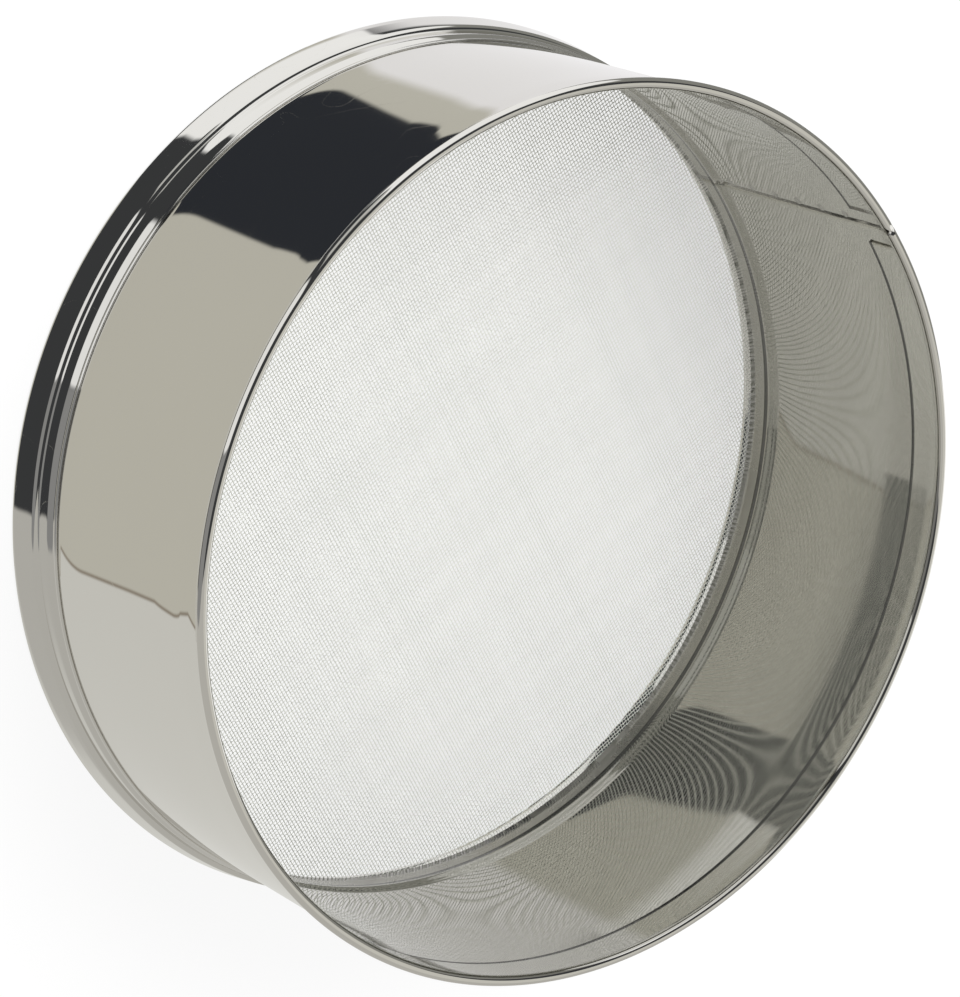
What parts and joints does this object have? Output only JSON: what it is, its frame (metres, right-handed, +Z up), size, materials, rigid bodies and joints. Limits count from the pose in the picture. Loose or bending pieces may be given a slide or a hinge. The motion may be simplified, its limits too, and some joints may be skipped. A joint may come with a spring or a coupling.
{
  "type": "tamis drum sieve",
  "caption": "Low steel drum sieve with a rolled rim, a lapped seam and fine wire cloth clamped over its lower end by a rolled ring.",
  "frame": {"origin": "middle of the foot, on the surface that the sieve stands on", "axes": "+Z up the drum's axis towards the open rim, +X along the warp wires, +Y along the weft wires"},
  "size_m": [0.3006, 0.3006, 0.1068],
  "materials": {
    "polished_sheet": "mirror-polished stainless steel sheet",
    "polished_ring": "polished stainless steel sheet, rolled",
    "drawn_wire": "drawn steel wire, hidden in the rim",
    "weld_metal": "resistance spot weld, slightly darkened",
    "pressed_cloth": "wire cloth pressed flat in the clamp",
    "cloth_wire": "bright drawn stainless steel wire, plain weave"
  },
  "bodies": {
    "root": {"drum_hoop": "polished_sheet", "rim_wire": "drawn_wire", "seam_welds": "weld_metal", "clamp_ring": "polished_ring", "cloth_edge": "pressed_cloth", "warp_wires": "cloth_wire", "weft_wires": "cloth_wire"}
  },
  "joints": []
}
